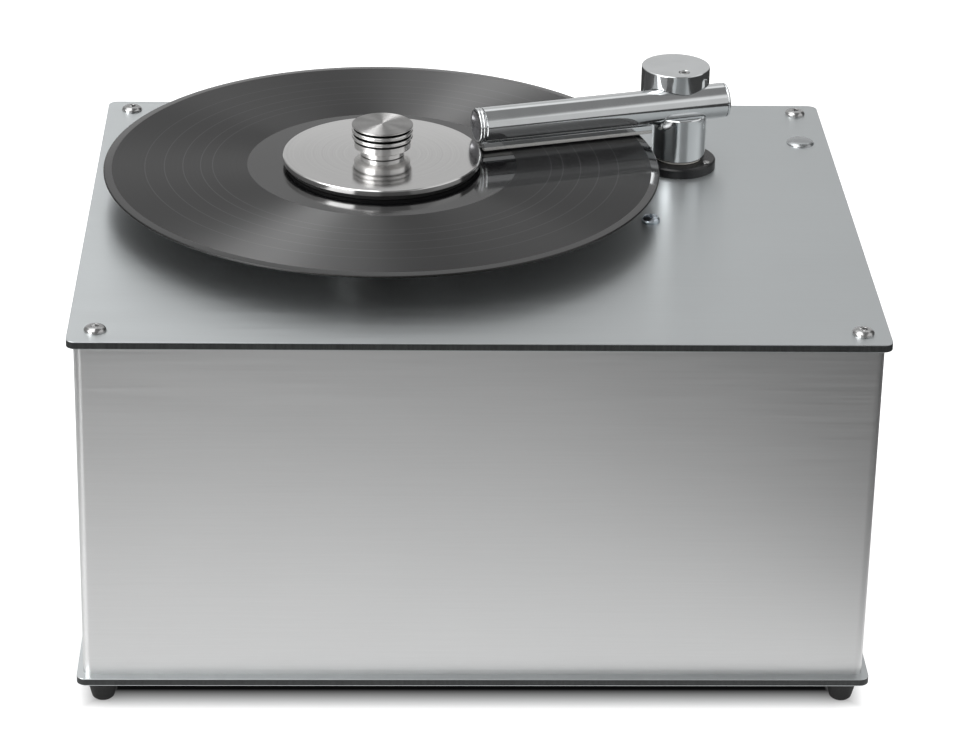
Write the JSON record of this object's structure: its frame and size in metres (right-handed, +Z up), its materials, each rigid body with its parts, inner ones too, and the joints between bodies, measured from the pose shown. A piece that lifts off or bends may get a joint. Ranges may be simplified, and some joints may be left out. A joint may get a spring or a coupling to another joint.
{
  "type": "record cleaning machine",
  "caption": "Record cleaning machine: brushed metal cabinet on feet, driven platter with screw clamp holding a black record, and a swinging suction arm with velvet lips.",
  "frame": {"origin": "middle of the bounding box footprint, on the surface that the feet stand on", "axes": "+Z up, +X to the right and +Y to the back, seen from the front"},
  "size_m": [0.4143, 0.3346, 0.2661],
  "materials": {
    "brushed_aluminium": "brushed satin",
    "polished_aluminium": "polished",
    "turned_aluminium": "turned",
    "zinc_steel": "zinc plated",
    "stainless_steel": "bright",
    "black_rubber": "matt",
    "black_plastic": "satin",
    "black_vinyl": "grooved gloss",
    "pale_velvet": "pile",
    "white_polymer": "satin",
    "clear_hose": "satin",
    "motor_steel": "satin",
    "brass_alloy": "turned"
  },
  "bodies": {
    "cabinet": {"base_plate": "brushed_aluminium", "top_plate": "brushed_aluminium", "case_shell": "brushed_aluminium", "rear_panel": "brushed_aluminium", "blind_plug": "polished_aluminium", "spindle_bearing": "brass_alloy", "gear_motor": "motor_steel", "motor_bracket": "zinc_steel", "arm_flange": "black_plastic", "arm_pillar": "stainless_steel", "suction_motor": "motor_steel", "waste_tank": "white_polymer", "tank_lid": "white_polymer", "suction_hose": "clear_hose", "unit_hose": "clear_hose", "drain_spigot": "black_plastic", "mains_inlet": "black_plastic", "exhaust_grille": "black_plastic", "switch_bezel": "black_plastic", "foot_front_left": "black_rubber", "plate_screw_front_left": "stainless_steel", "corner_post_front_left": "zinc_steel", "foot_front_right": "black_rubber", "plate_screw_front_right": "stainless_steel", "corner_post_front_right": "zinc_steel", "foot_rear_left": "black_rubber", "plate_screw_rear_left": "stainless_steel", "corner_post_rear_left": "zinc_steel", "foot_rear_right": "black_rubber", "plate_screw_rear_right": "stainless_steel", "corner_post_rear_right": "zinc_steel", "unit_screw_front_right": "zinc_steel", "unit_screw_rear_left": "zinc_steel", "flange_screw_1": "stainless_steel", "flange_screw_2": "stainless_steel", "flange_screw_3": "stainless_steel"},
    "platter": {"spindle_shaft": "stainless_steel", "platter_hub": "turned_aluminium", "hub_mat": "black_rubber", "record_disc": "black_vinyl", "drive_coupler": "zinc_steel", "gearbox_shaft": "stainless_steel"},
    "clamp": {"clamp_plate": "polished_aluminium", "clamp_seal": "black_rubber"},
    "knob": {"clamp_knob": "turned_aluminium"},
    "arm_swivel": {"arm_bush": "white_polymer", "arm_spring": "stainless_steel"},
    "arm": {"arm_column": "polished_aluminium", "arm_tube": "polished_aluminium", "tip_end_cap": "polished_aluminium", "tail_end_cap": "polished_aluminium", "arm_cap": "polished_aluminium", "cap_screw": "stainless_steel", "suction_rail": "polished_aluminium", "velvet_strip_front": "pale_velvet", "velvet_strip_rear": "pale_velvet"},
    "platter_switch": {"platter_rocker": "black_plastic"},
    "suction_switch": {"suction_rocker": "black_plastic"},
    "fan": {"suction_fan": "turned_aluminium"},
    "drain": {"drain_cap": "black_rubber"}
  },
  "joints": [
    {"name": "platter_spin", "type": "hinge", "parent": "cabinet", "child": "platter", "pos_m": [-0.04875, 0.0165, 0.211], "axis": [0, 0, 1], "continuous": true},
    {"name": "clamp_rise", "type": "slide", "parent": "platter", "child": "clamp", "axis": [0, 0, 1], "range_m": [0, 0.006]},
    {"name": "knob_turn", "type": "hinge", "parent": "clamp", "child": "knob", "pos_m": [-0.04875, 0.0165, 0.239], "axis": [0, 0, 1], "range_deg": [0, 1090]},
    {"name": "arm_swing", "type": "hinge", "parent": "cabinet", "child": "arm_swivel", "pos_m": [0.1178, 0.0709, 0.211], "axis": [0, 0, 1], "range_deg": [-5, 95]},
    {"name": "arm_lift", "type": "slide", "parent": "arm_swivel", "child": "arm", "axis": [0, 0, 1], "range_m": [-0.0008, 0.008], "stiffness_N_per_m": 300, "springref_m": 0.004},
    {"name": "platter_rocker_tilt", "type": "hinge", "parent": "cabinet", "child": "platter_switch", "pos_m": [0.1978, -0.1261, 0.15], "axis": [0, 1, 0], "range_deg": [-9, 9]},
    {"name": "suction_rocker_tilt", "type": "hinge", "parent": "cabinet", "child": "suction_switch", "pos_m": [0.1978, -0.1001, 0.15], "axis": [0, 1, 0], "range_deg": [-18, 0]},
    {"name": "fan_spin", "type": "hinge", "parent": "cabinet", "child": "fan", "pos_m": [0.0615, 0.0197, 0.14], "axis": [0, 0, 1], "continuous": true},
    {"name": "drain_cap_pull", "type": "slide", "parent": "cabinet", "child": "drain", "axis": [0, 1, 0], "range_m": [0, 0.015]}
  ],
  "couplings": [
    {"joint": "knob_turn", "follows": "clamp_rise", "rad_per_m": 3141.6}
  ]
}
